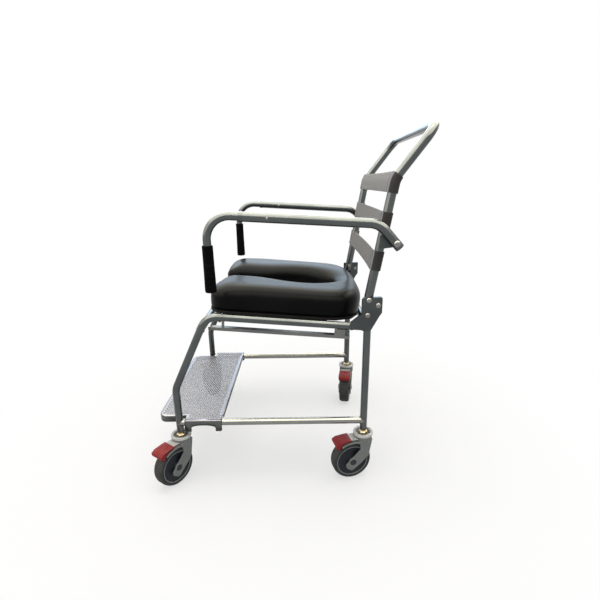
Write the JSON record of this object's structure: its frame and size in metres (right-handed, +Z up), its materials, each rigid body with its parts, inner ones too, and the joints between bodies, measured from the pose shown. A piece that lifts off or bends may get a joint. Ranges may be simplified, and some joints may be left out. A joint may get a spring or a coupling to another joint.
{
  "type": "shower commode chair",
  "caption": "Castor-mounted shower commode chair with tube frame, padded horseshoe seat, flip-up armrests, strap back, push handle and sliding perforated footplate.",
  "frame": {"origin": "on the floor, under the middle of the bounding box at rest", "axes": "+X towards the occupant's left, +Y towards the rear, +Z up"},
  "size_m": [0.6996, 0.816, 1.0496],
  "materials": {
    "steel": "satin",
    "dark_steel": "satin",
    "bolt": "satin",
    "castor_stem": "satin",
    "cushion": "satin",
    "board": "matte",
    "webbing": "matte",
    "grip": "matte",
    "castor_housing": "satin",
    "tyre": "matte",
    "hub": "matte",
    "pedal": "satin"
  },
  "bodies": {
    "frame": {"front_cross_tube": "steel", "rear_cross_tube": "steel", "back_handle_tube": "steel", "back_strap_top": "webbing", "back_strap_middle": "webbing", "back_strap_bottom": "webbing", "left_side_frame": "steel", "left_rear_leg": "steel", "left_lower_rail": "steel", "left_gusset": "dark_steel", "left_gusset_bolt_upper": "bolt", "left_gusset_bolt_rear": "bolt", "left_gusset_bolt_lower": "bolt", "left_arm_bracket": "dark_steel", "left_arm_pivot_pin": "bolt", "left_pan_runner": "steel", "right_side_frame": "steel", "right_rear_leg": "steel", "right_lower_rail": "steel", "right_gusset": "dark_steel", "right_gusset_bolt_upper": "bolt", "right_gusset_bolt_rear": "bolt", "right_gusset_bolt_lower": "bolt", "right_arm_bracket": "dark_steel", "right_arm_pivot_pin": "bolt", "right_pan_runner": "steel", "front_left_castor_stem": "castor_stem", "front_right_castor_stem": "castor_stem", "rear_left_castor_stem": "castor_stem", "rear_right_castor_stem": "castor_stem"},
    "seat": {"seat_cushion": "cushion", "seat_board": "board"},
    "footplate": {"footplate": "steel"},
    "left_armrest": {"left_arm_sleeve": "steel", "left_arm_tube": "steel", "left_arm_grip": "grip"},
    "right_armrest": {"right_arm_sleeve": "steel", "right_arm_tube": "steel", "right_arm_grip": "grip"},
    "front_left_castor": {"front_left_castor_fork": "castor_housing", "front_left_castor_axle": "bolt"},
    "front_left_wheel": {"front_left_tyre": "tyre", "front_left_hub": "hub"},
    "front_left_pedal": {"front_left_brake_pedal": "pedal"},
    "front_right_castor": {"front_right_castor_fork": "castor_housing", "front_right_castor_axle": "bolt"},
    "front_right_wheel": {"front_right_tyre": "tyre", "front_right_hub": "hub"},
    "front_right_pedal": {"front_right_brake_pedal": "pedal"},
    "rear_left_castor": {"rear_left_castor_fork": "castor_housing", "rear_left_castor_axle": "bolt"},
    "rear_left_wheel": {"rear_left_tyre": "tyre", "rear_left_hub": "hub"},
    "rear_left_pedal": {"rear_left_brake_pedal": "pedal"},
    "rear_right_castor": {"rear_right_castor_fork": "castor_housing", "rear_right_castor_axle": "bolt"},
    "rear_right_wheel": {"rear_right_tyre": "tyre", "rear_right_hub": "hub"},
    "rear_right_pedal": {"rear_right_brake_pedal": "pedal"}
  },
  "joints": [
    {"name": "seat_lift", "type": "slide", "parent": "frame", "child": "seat", "axis": [0, 0.0811, 0.9967], "range_m": [0, 0.06]},
    {"name": "footplate_slide", "type": "slide", "parent": "frame", "child": "footplate", "axis": [0, 1, 0], "range_m": [0, 0.4]},
    {"name": "left_armrest_flip", "type": "hinge", "parent": "frame", "child": "left_armrest", "pos_m": [0.3, 0.29786, 0.745], "axis": [-1, 0, 0], "range_deg": [0, 105]},
    {"name": "right_armrest_flip", "type": "hinge", "parent": "frame", "child": "right_armrest", "pos_m": [-0.3, 0.29786, 0.745], "axis": [-1, 0, 0], "range_deg": [0, 105]},
    {"name": "front_left_swivel", "type": "hinge", "parent": "frame", "child": "front_left_castor", "pos_m": [0.258, -0.33414, 0.13], "axis": [0, 0, 1], "continuous": true},
    {"name": "front_left_roll", "type": "hinge", "parent": "front_left_castor", "child": "front_left_wheel", "pos_m": [0.29077, -0.35708, 0.0625], "axis": [0.5736, 0.8192, 0], "continuous": true},
    {"name": "front_left_brake", "type": "hinge", "parent": "front_left_castor", "child": "front_left_pedal", "pos_m": [0.27807, -0.34819, 0.13844], "axis": [0.5736, 0.8192, 0], "range_deg": [0, 3.5]},
    {"name": "front_right_swivel", "type": "hinge", "parent": "frame", "child": "front_right_castor", "pos_m": [-0.258, -0.33414, 0.13], "axis": [0, 0, 1], "continuous": true},
    {"name": "front_right_roll", "type": "hinge", "parent": "front_right_castor", "child": "front_right_wheel", "pos_m": [-0.29077, -0.35708, 0.0625], "axis": [0.5736, -0.8192, 0], "continuous": true},
    {"name": "front_right_brake", "type": "hinge", "parent": "front_right_castor", "child": "front_right_pedal", "pos_m": [-0.27807, -0.34819, 0.13844], "axis": [0.5736, -0.8192, 0], "range_deg": [0, 3.5]},
    {"name": "rear_left_swivel", "type": "hinge", "parent": "frame", "child": "rear_left_castor", "pos_m": [0.258, 0.23786, 0.13], "axis": [0, 0, 1], "continuous": true},
    {"name": "rear_left_roll", "type": "hinge", "parent": "rear_left_castor", "child": "rear_left_wheel", "pos_m": [0.26835, 0.19923, 0.0625], "axis": [0.9659, 0.2588, 0], "continuous": true},
    {"name": "rear_left_brake", "type": "hinge", "parent": "rear_left_castor", "child": "rear_left_pedal", "pos_m": [0.26434, 0.2142, 0.13844], "axis": [0.9659, 0.2588, 0], "range_deg": [0, 3.5]},
    {"name": "rear_right_swivel", "type": "hinge", "parent": "frame", "child": "rear_right_castor", "pos_m": [-0.258, 0.23786, 0.13], "axis": [0, 0, 1], "continuous": true},
    {"name": "rear_right_roll", "type": "hinge", "parent": "rear_right_castor", "child": "rear_right_wheel", "pos_m": [-0.21874, 0.23023, 0.0625], "axis": [0.1908, 0.9816, 0], "continuous": true},
    {"name": "rear_right_brake", "type": "hinge", "parent": "rear_right_castor", "child": "rear_right_pedal", "pos_m": [-0.23395, 0.23319, 0.13844], "axis": [0.1908, 0.9816, 0], "range_deg": [0, 3.5]}
  ]
}
